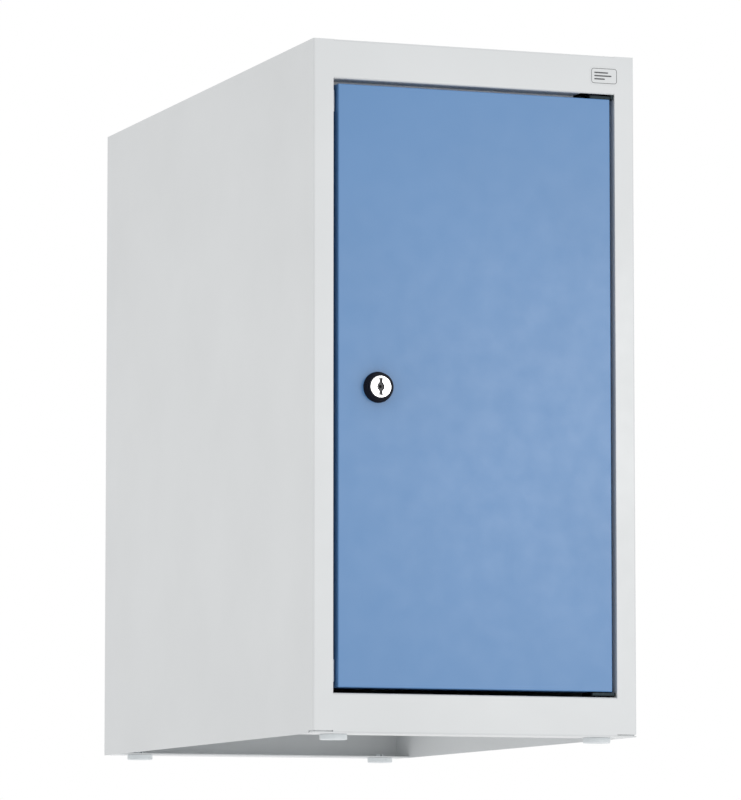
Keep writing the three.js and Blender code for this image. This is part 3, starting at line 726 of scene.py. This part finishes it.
def foot_glide(name):
    """A round glide with a soft lower edge, and the split barb that holds it in its flange."""
    low, high = box(name)
    centre = ((low.x + high.x) / 2, (low.y + high.y) / 2, 0)
    radius = (high.x - low.x) / 2
    stem, barb, tip = 3 * MM, 3.8 * MM, 2.6 * MM
    catch = BASE + SHEET + RUNNING_GAP
    round_edge, half_split, dish = 0.8 * MM, 0.6 * MM, 0.3 * MM
    profile = [(0, dish), (radius - 4 * MM, dish), (radius - 3.6 * MM, 0)]
    for step in range(6):
        angle = math.pi / 2 * step / 5
        profile.append((radius - round_edge * (1 - math.sin(angle)), round_edge * (1 - math.cos(angle))))
    profile += [
        (radius, BASE - 0.5 * MM),
        (radius - 0.15 * MM, BASE - 0.15 * MM),
        (radius - 0.5 * MM, BASE),
        (stem, BASE),
        (stem, catch),
        (barb - 0.15 * MM, catch),
        (barb, catch + 0.15 * MM),
        (tip, high.z - 0.1 * MM),
        (tip - 0.1 * MM, high.z),
        (0, high.z),
    ]
    glide = turned(profile, "z", centre, 64)
    split = block(
        (centre[0] - half_split, centre[0] + half_split),
        (centre[1] - radius, centre[1] + radius),
        (BASE + 0.2 * MM, high.z + MM),
    )
    cut(glide, split)
    return finished(glide, name, "cabinet", GLIDE, broken_edge=0, sharp=40)


def thread(radius, low, high, pitch, depth):
    """The profile of a thread drawn as close rings."""
    points = []
    for i in range(int((high - low) / pitch)):
        start = low + i * pitch
        points += [(radius - depth, start), (radius, start + pitch * 0.4), (radius, start + pitch * 0.6)]
    points.append((radius - depth, low + int((high - low) / pitch) * pitch))
    return points


def hinge_bracket(name):
    """A plate in the gap beyond one of the door's ends, which holds a bush."""
    low, high = box(name)
    front = high.y - BRACKET_DEPTH
    corner = 1.2 * MM
    plan = rounded_box_outline((low.x, front), (high.x, high.y), corner)
    bracket = extruded(plan, "z", low.z, low.z + BRACKET_PLATE)
    cut(bracket, pivot_hole(low.z - MM, high.z + MM, BUSH_HOLE_RADIUS))
    has_leg = high.z - low.z > 2 * BRACKET_PLATE
    if has_leg:
        join(bracket, block((high.x - BRACKET_PLATE, high.x), (low.y, high.y), (low.z, high.z)))
    return finished(bracket, name, "cabinet", DARK_STEEL, broken_edge=0.2 * MM)


def bush(name, flange_low):
    """A plastic bush with a flange between its ends."""
    low, high = box(name)
    bore, shank, flange = BUSH_BORE_RADIUS, 4 * MM, 6 * MM
    flange_high = flange_low + BUSH_FLANGE
    soft = 0.3 * MM
    piece = turned([
        (bore, low.z),
        (shank - soft, low.z),
        (shank, low.z + soft),
        (shank, flange_low),
        (flange - soft, flange_low),
        (flange, flange_low + soft),
        (flange, flange_high - soft),
        (flange - soft, flange_high),
        (shank, flange_high),
        (shank, high.z - soft),
        (shank - soft, high.z),
        (bore, high.z),
    ], "z", (PIVOT.x, PIVOT.y, 0), SMALL_ROUND)
    return finished(piece, name, "cabinet", BLACK, broken_edge=0)


def door_buffer(name):
    """A soft plastic buffer: a pad beside the door and a stop behind its edge."""
    low, high = box(name)
    pad, chamfer = 2.6 * MM, 0.8 * MM
    pad_high_x = low.x + pad
    stop_low_y = door_high.y + JOINT_GAP
    outline = [
        (low.x, low.y),
        (pad_high_x - chamfer, low.y),
        (pad_high_x, low.y + 1.5 * chamfer),
        (pad_high_x, stop_low_y),
        (high.x - chamfer, stop_low_y),
        (high.x, stop_low_y + chamfer),
        (high.x, high.y - chamfer),
        (high.x - chamfer, high.y),
        (low.x, high.y),
    ]
    buffer = extruded(outline, "z", low.z, high.z)
    return finished(buffer, name, "cabinet", GLIDE, broken_edge=0.4 * MM)


# The door.


def front_rounded(low, high, front, back, radius):
    """A rectangle with its two corners at the front rounded, as (across, depth) points."""
    points = [(low, back)]
    for step in range(BEND_STEPS + 1):
        angle = math.pi / 2 * step / BEND_STEPS
        points.append((low + radius * (1 - math.cos(angle)), front + radius * (1 - math.sin(angle))))
    for step in range(BEND_STEPS + 1):
        angle = math.pi / 2 * step / BEND_STEPS
        points.append((high - radius * (1 - math.sin(angle)), front + radius * (1 - math.cos(angle))))
    points.append((high, back))
    return points


def door_pan():
    """The door's face with its four folded edges and narrow rear flanges, open at the corners' seams."""
    low, high = door_low, door_high
    plan = extruded(front_rounded(low.x, high.x, low.y, high.y, DOOR_EDGE_RADIUS), "z", low.z, high.z)
    elevation = front_rounded(low.z, high.z, low.y, high.y, DOOR_EDGE_RADIUS)
    combine(plan, extruded([(y, z) for z, y in elevation], "x", low.x, high.x), "INTERSECT")
    hollow = block(
        (low.x + SHEET, high.x - SHEET),
        (low.y + SHEET, high.y - SHEET),
        (low.z + SHEET, high.z - SHEET),
    )
    window = rounded_box_outline(
        (low.x + DOOR_FLANGE, low.z + DOOR_FLANGE),
        (high.x - DOOR_FLANGE, high.z - DOOR_FLANGE),
        2 * MM,
    )
    opening = extruded([(z, x) for x, z in window], "y", high.y - 2 * SHEET, high.y + SHEET)
    slits = []
    depth = (high.y - 1.5 * SHEET, high.y + SHEET)
    for x0, x1 in ((low.x - SHEET, low.x + DOOR_FLANGE), (high.x - DOOR_FLANGE, high.x + SHEET)):
        for z in (low.z + DOOR_FLANGE * 0.5, high.z - DOOR_FLANGE * 0.5):
            heights = (z - CORNER_SLIT / 2, z + CORNER_SLIT / 2)
            slits.append(block((x0 + 1.5 * SHEET, x1 - 0.1 * MM), depth, heights))
    lock_hole = disc(LOCK_HOLE_RADIUS, -SHEET, 2 * SHEET, "y", LOCK)
    cut(
        plan,
        hollow,
        opening,
        *slits,
        lock_hole,
        pivot_hole(high.z - 2 * SHEET, high.z + SHEET, PIN_HOLE_RADIUS),
        pivot_hole(low.z - SHEET, low.z + 2 * SHEET, PIN_HOLE_RADIUS),
    )
    return finished(plan, "door_pan", "door", BLUE_PAINT)


def door_stiffener():
    """The hat-section channel behind the door's face, with spot welds along its feet."""
    low, high = box("door_stiffener")
    foot = 12 * MM
    left, right = low.x + foot, high.x - foot
    foot_face = low.y + SHEET
    hat = folded([
        (low.x, foot_face),
        (left, foot_face),
        (left, high.y),
        (right, high.y),
        (right, foot_face),
        (high.x, foot_face),
    ][::-1])
    channel = extruded(hat, "z", low.z, high.z)
    heights = spread(low.z, high.z, WELD_PITCH)
    places = [((x, foot_face, z), 1) for x in (low.x + foot * 0.5, high.x - foot * 0.5) for z in heights]
    cut(channel, weld_dimples(places, "y"))
    return finished(channel, "door_stiffener", "door", BLUE_PAINT)


def hinge_pin(name, end, shoulder, tip):
    """A pin with a collar inside the door, given by the heights of the collar's ends and the pin's tip."""
    pin, collar, soft = PIN_RADIUS, 5.5 * MM, 0.5 * MM
    up = 1 if tip > end else -1
    profile = [
        (0, end),
        (collar - soft, end),
        (collar, end + up * soft),
        (collar, shoulder),
        (pin, shoulder),
        (pin, tip - up * 2 * soft),
        (pin - soft, tip - up * 0.3 * soft),
        (pin - 2 * soft, tip),
        (0, tip),
    ]
    piece = turned(profile[::up], "z", (PIVOT.x, PIVOT.y, 0), SMALL_ROUND)
    return finished(piece, name, "door", DARK_STEEL, broken_edge=0)


def hinge_washer():
    """The washer under the door."""
    low, high = box("hinge_washer")
    rim = 6 * MM
    washer = turned([
        (BUSH_BORE_RADIUS, low.z),
        (rim, low.z),
        (rim, high.z),
        (BUSH_BORE_RADIUS, high.z),
    ], "z", (PIVOT.x, PIVOT.y, 0), SMALL_ROUND)
    return finished(washer, "hinge_washer", "door", BLACK, broken_edge=0.15 * MM)


# The lock. Heights run along +Y from the door's front face.


def lock_rosette():
    """The black ring around the lock, tapering outwards in fine steps."""
    low, high = box("lock_rosette")
    outer = (high.x - low.x) / 2
    tip = low.y - FRONT
    inner, tip_radius = 9.5 * MM, 10 * MM
    rim = -1 * MM
    profile = [(inner, 0), (outer, 0), (outer, rim)]
    steps = 6
    for i in range(steps):
        radius = outer - (outer - tip_radius) * (i + 1) / steps
        height = rim + (tip - rim) * (i + 1) / steps
        last = rim + (tip - rim) * i / steps
        profile += [
            (radius + 0.1 * MM, last - 0.12 * MM),
            (radius - 0.12 * MM, last - 0.3 * MM),
            (radius, height),
        ]
    profile += [(tip_radius - 0.2 * MM, tip), (inner, tip)]
    ring = turned(profile, "y", LOCK)
    return finished(ring, "lock_rosette", "door", BLACK, broken_edge=0, sharp=25)


def lock_housing():
    """The barrel: a rim around the bright face, and a thread behind the door."""
    low, high = box("lock_housing")
    front, back = low.y - FRONT, high.y - FRONT
    barrel = 9.4 * MM
    face_bore, plug_bore = 8.2 * MM, 7.2 * MM
    shoulder = front + 2.2 * MM
    profile = [
        (face_bore + 0.1 * MM, front),
        (barrel - 0.35 * MM, front),
        (barrel - 0.1 * MM, front + 0.15 * MM),
        (barrel, front + 0.4 * MM),
        (barrel, 2 * MM),
        *thread(barrel, 2.2 * MM, back - 0.8 * MM, 1 * MM, 0.5 * MM),
        (barrel - 0.8 * MM, back),
        (plug_bore, back),
        (plug_bore, shoulder),
        (face_bore, shoulder),
        (face_bore, front + 0.1 * MM),
    ]
    housing = turned(profile, "y", LOCK)
    return finished(housing, "lock_housing", "door", BLACK, broken_edge=0)


def key_slot(front, depth):
    """A tool in the key slot's shape: a narrow slot with flared ends and a swollen middle."""
    half_height, half_width, end_width, bulge = 6.2 * MM, 1.25 * MM, 1.6 * MM, 3.0 * MM
    bulge_half_height = 3.1 * MM
    flare_start, flare_end = half_height - 1.5 * MM, half_height - 0.9 * MM
    shoulder = bulge_half_height + 0.5 * MM
    right = [
        (-half_height, end_width),
        (-flare_end, end_width),
        (-flare_start, half_width),
        (-shoulder, half_width + 0.05 * MM),
    ]
    for step in range(9):
        share = -1 + step / 4
        width = half_width + (bulge - half_width) * math.cos(share * math.pi / 2) ** 0.8
        right.append((share * bulge_half_height, max(width, half_width + 0.15 * MM)))
    right += [
        (shoulder, half_width + 0.05 * MM),
        (flare_start, half_width),
        (flare_end, end_width),
        (half_height, end_width),
    ]
    left = [(z, -x) for z, x in right[::-1]]
    outline = [(LOCK.z + z, LOCK.x + x) for z, x in right + left]
    return extruded(outline, "y", front, front + depth)


def lock_square(half, low, high):
    """A square bar along the lock's axis, of half a width."""
    return block((LOCK.x - half, LOCK.x + half), (low, high), (LOCK.z - half, LOCK.z + half))


def lock_plug():
    """The turning plug: a bright face with fine turned rings, the key slot, and the cam's square tang."""
    low, high = box("lock_plug")
    front, back = low.y - FRONT, high.y - FRONT
    face, body = 8 * MM, 7 * MM
    cam_low, _ = box("lock_cam")
    cam_face = cam_low.y - FRONT
    profile = [(0, front)]
    groove, half_groove = 0.03 * MM, 0.12 * MM
    for ring in (2.8, 4.4, 5.8, 7.2):
        radius = ring * MM
        profile += [(radius - half_groove, front), (radius, front + groove), (radius + half_groove, front)]
    profile += [
        (face - 0.5 * MM, front),
        (face - 0.15 * MM, front + 0.12 * MM),
        (face, front + 0.4 * MM),
        (face, front + 1.8 * MM),
        (body, front + 1.8 * MM),
        (body, cam_face - JOINT_GAP),
        (0, cam_face - JOINT_GAP),
    ]
    plug = turned(profile, "y", LOCK)
    join(plug, lock_square(TANG_HALF_WIDTH, FRONT + cam_face - MM, high.y))
    screw_hole = disc(3 * MM, cam_face - 8 * MM, back + MM, "y", LOCK, SMALL_ROUND)
    slot_depth = 6 * MM
    cut(plug, key_slot(low.y - MM, MM + slot_depth), screw_hole)
    return finished(plug, "lock_plug", "lock_core", LOCK_FACE, broken_edge=0, sharp=30)


def lock_wafers():
    """The four wafers across the key slot, each with a round eye, coloured near-black as painted shade deep
    in the keyway.
    """
    low, _ = box("lock_plug")
    wafers = []
    first, pitch = 1.3 * MM, 1.1 * MM
    for i in range(4):
        y = low.y + first + pitch * i
        eye = disc(1.2 * MM, y - LOCK.y - MM, y - LOCK.y + MM, "y", LOCK, 24)
        wafers.append(cut(key_slot(y, 0.4 * MM), eye))
    stack = together(wafers)
    return finished(
        stack, "lock_wafers", "lock_core", KEYWAY_PAINTED_SHADE, broken_edge=0, replaces_node=False
    )


def lock_cam():
    """The flat cam with a square hole, broken edges and a slightly narrowed tongue."""
    low, high = box("lock_cam")
    radius = (high.x - low.x) / 2
    reach = LOCK.z - low.z
    outline = []
    for step in range(25):
        angle = -math.pi / 2 + math.pi * step / 24
        outline.append((LOCK.z + radius * math.cos(angle), LOCK.x + radius * math.sin(angle)))
    tip = radius - 1.5 * MM
    corner = 3 * MM
    end = LOCK.z - reach
    wide_end, narrow_start = LOCK.z - 8 * MM, LOCK.z - 14 * MM
    outline += [(wide_end, LOCK.x + radius), (narrow_start, LOCK.x + tip)]
    for step in range(7):
        angle = math.pi / 2 * step / 6
        x = LOCK.x + tip - corner + corner * math.cos(angle)
        outline.append((end + corner - corner * math.sin(angle), x))
    for step in range(7):
        angle = math.pi / 2 * step / 6
        x = LOCK.x - tip + corner - corner * math.sin(angle)
        outline.append((end + corner - corner * math.cos(angle), x))
    outline += [(narrow_start, LOCK.x - tip), (wide_end, LOCK.x - radius)]
    cam = extruded(outline, "y", low.y, high.y)
    cut(cam, lock_square(TANG_HALF_WIDTH + RUNNING_GAP, low.y - MM, high.y + MM))
    return finished(cam, "lock_cam", "lock_core", ZINC, broken_edge=0.3 * MM)


def cam_washer():
    """The washer under the cam's screw."""
    low, high = box("cam_washer")
    bore, rim = 3.1 * MM, 7 * MM
    washer = turned([
        (bore, low.y - FRONT),
        (rim, low.y - FRONT),
        (rim, high.y - FRONT),
        (bore, high.y - FRONT),
    ], "y", LOCK, SMALL_ROUND)
    return finished(washer, "cam_washer", "lock_core", ZINC, broken_edge=0.15 * MM)


def cam_screw():
    """The cross-slotted screw that holds the cam."""
    low, high = box("cam_screw")
    front, back = low.y - FRONT, high.y - FRONT
    head = back - 3.6 * MM
    head_radius, dome = 5 * MM, 2 * MM
    brim = head + 1.6 * MM
    profile = [
        (0, front),
        (2.3 * MM, front),
        *thread(2.9 * MM, front + 0.6 * MM, head - 1 * MM, 0.8 * MM, 0.35 * MM),
        (2.6 * MM, head),
        (head_radius, head),
        (head_radius, brim),
    ]
    for step in range(1, 7):
        angle = math.pi / 2 * step / 6
        radius = head_radius * math.cos(angle) if step < 6 else 0
        profile.append((radius, brim + dome * math.sin(angle)))
    screw = turned(profile, "y", LOCK, SMALL_ROUND)
    ys = (FRONT + head + 2.2 * MM, FRONT + back + MM)
    long, short = 2.7 * MM, 0.55 * MM
    cross = join(
        block((LOCK.x - short, LOCK.x + short), ys, (LOCK.z - long, LOCK.z + long)),
        block((LOCK.x - long, LOCK.x + long), ys, (LOCK.z - short, LOCK.z + short)),
    )
    cut(screw, cross)
    return finished(screw, "cam_screw", "lock_core", ZINC, broken_edge=0)


def lock_nut():
    """The big hexagon nut, with chamfered corners and bore, that clamps the barrel to the door."""
    node_low, node_high = box("lock_nut")
    low, high = node_low.y - FRONT, node_high.y - FRONT
    corner, bore, step = 13.8 * MM, 9.5 * MM, 0.5 * MM
    outline = []
    for i in range(6):
        angle = math.pi / 2 + math.pi / 3 * i
        outline.append((corner * math.cos(angle), corner * math.sin(angle)))
    nut = extruded(outline, "y", low, high)
    nut.data.transform(Matrix.Translation(LOCK))
    chamfer = 0.12 * corner
    limits = turned([
        (0, low),
        (corner - chamfer, low),
        (corner + 0.2 * chamfer, low + chamfer * 0.7),
        (corner + 0.2 * chamfer, high - chamfer * 0.7),
        (corner - chamfer, high),
        (0, high),
    ], "y", LOCK)
    combine(nut, limits, "INTERSECT")
    hole = turned([
        (0, low - MM),
        (bore + step, low - MM),
        (bore + step, low),
        (bore, low + step),
        (bore, high - step),
        (bore + step, high),
        (bore + step, high + MM),
        (0, high + MM),
    ], "y", LOCK, SMALL_ROUND)
    cut(nut, hole)
    return finished(nut, "lock_nut", "door", ZINC, broken_edge=0.1 * MM)


# The whole object.

side_panel("side_panel_left", False)
side_panel("side_panel_right", True)
top_panel()
bottom_front_rail()
stile_upstands()
rear_panel()
floor_panel()
shelf()
label()
label_print()
for row in ("front", "rear"):
    for side in ("left", "right"):
        shelf_clip(f"shelf_clip_{row}_{side}")
        foot_glide(f"foot_glide_{row}_{side}")
hinge_bracket("hinge_bracket_upper")
hinge_bracket("hinge_bracket_lower")
bush("hinge_bush_upper", box("hinge_bracket_upper")[0].z + BRACKET_PLATE)
bush("hinge_bush_lower", floor_high.z - SHEET - BUSH_FLANGE)
door_buffer("door_buffer_upper")
door_buffer("door_buffer_lower")
door_pan()
door_stiffener()
upper_pin_low, upper_pin_high = box("hinge_pin_upper")
hinge_pin("hinge_pin_upper", upper_pin_low.z, door_high.z - SHEET, upper_pin_high.z)
lower_pin_low, lower_pin_high = box("hinge_pin_lower")
hinge_pin("hinge_pin_lower", lower_pin_high.z, door_low.z + SHEET, lower_pin_low.z)
hinge_washer()
lock_rosette()
lock_housing()
lock_nut()
lock_plug()
lock_wafers()
lock_cam()
cam_washer()
cam_screw()


# The stage: a pale floor, a white room, a light that shows only as gloss, and a soft strip on the left.


def floor():
    """A pale floor that only the camera sees, and only from above, so that light also comes from below."""
    bm = bmesh.new()
    near, far = -FLOOR_REACH, FLOOR_REACH
    corners = ((near, near), (far, near), (far, far), (near, far))
    bm.faces.new([bm.verts.new((x, y, 0)) for x, y in corners])
    ground = new_object("floor", bm)
    material = bpy.data.materials.new("pale_floor")
    material.use_nodes = True
    tree = material.node_tree
    shader = tree.nodes["Principled BSDF"]
    shader.inputs["Base Color"].default_value = (FLOOR_SHADE, FLOOR_SHADE, FLOOR_SHADE, 1)
    shader.inputs["Roughness"].default_value = 0.8
    shader.inputs["Specular IOR Level"].default_value = 0.2
    clear = tree.nodes.new("ShaderNodeBsdfTransparent")
    mix = tree.nodes.new("ShaderNodeMixShader")
    geometry = tree.nodes.new("ShaderNodeNewGeometry")
    tree.links.new(geometry.outputs["Backfacing"], mix.inputs["Fac"])
    tree.links.new(shader.outputs["BSDF"], mix.inputs[1])
    tree.links.new(clear.outputs["BSDF"], mix.inputs[2])
    tree.links.new(mix.outputs["Shader"], tree.nodes["Material Output"].inputs["Surface"])
    ground.data.materials.append(material)
    ground.visible_diffuse = False
    ground.visible_glossy = False
    ground.visible_transmission = False
    ground.visible_shadow = False


def area_light(name, place, target, size, power):
    """A soft light of a width and height at a place, aimed at a target, and unseen by the camera."""
    data = bpy.data.lights.new(name, "AREA")
    data.energy = power
    data.shape = "RECTANGLE"
    data.size, data.size_y = size
    light = bpy.data.objects.new(name, data)
    light.location = place
    light.rotation_euler = (Vector(target) - Vector(place)).to_track_quat("-Z", "Y").to_euler()
    light.visible_camera = False
    bpy.context.scene.collection.objects.link(light)
    return light


def world():
    """A white surround, a little dimmer towards the left."""
    surround = bpy.data.worlds.new("white_room")
    surround.use_nodes = True
    tree = surround.node_tree
    background = tree.nodes["Background"]
    directions = tree.nodes.new("ShaderNodeTexCoord")
    split = tree.nodes.new("ShaderNodeSeparateXYZ")
    shade = tree.nodes.new("ShaderNodeMapRange")
    shade.inputs["From Min"].default_value = -1.0
    shade.inputs["From Max"].default_value = 0.2
    shade.inputs["To Min"].default_value = ROOM_SHADE_AT_LEFT
    shade.inputs["To Max"].default_value = 1.0
    tree.links.new(directions.outputs["Generated"], split.inputs["Vector"])
    tree.links.new(split.outputs["X"], shade.inputs["Value"])
    tree.links.new(shade.outputs["Result"], background.inputs["Strength"])
    background.inputs["Color"].default_value = (1, 1, 1, 1)
    bpy.context.scene.world = surround


def camera():
    """The photograph's view: from the front left, and from below."""
    data = bpy.data.cameras.new("camera")
    data.lens = CAMERA_LENS
    data.sensor_width = 36
    data.clip_end = 50
    view = bpy.data.objects.new("camera", data)
    ahead = Vector((
        math.sin(CAMERA_YAW) * math.cos(CAMERA_PITCH),
        math.cos(CAMERA_YAW) * math.cos(CAMERA_PITCH),
        math.sin(CAMERA_PITCH),
    ))
    view.location = CAMERA_PLACE
    view.rotation_euler = ahead.to_track_quat("-Z", "Y").to_euler()
    bpy.context.scene.collection.objects.link(view)
    bpy.context.scene.camera = view


floor()
world()
gloss_aim = (0.10, FRONT, 0.23)
gloss = area_light("front_right_gloss", GLOSS_LIGHT_PLACE, gloss_aim, GLOSS_LIGHT_SIZE, GLOSS_LIGHT_POWER)
gloss.visible_diffuse = False
strip_aim = (-SIDE, *STRIP_LIGHT_PLACE[1:])
strip = area_light("left_strip", STRIP_LIGHT_PLACE, strip_aim, STRIP_LIGHT_SIZE, STRIP_LIGHT_POWER)
strip.visible_glossy = False
camera()
bpy.context.scene.view_settings.view_transform = "Standard"
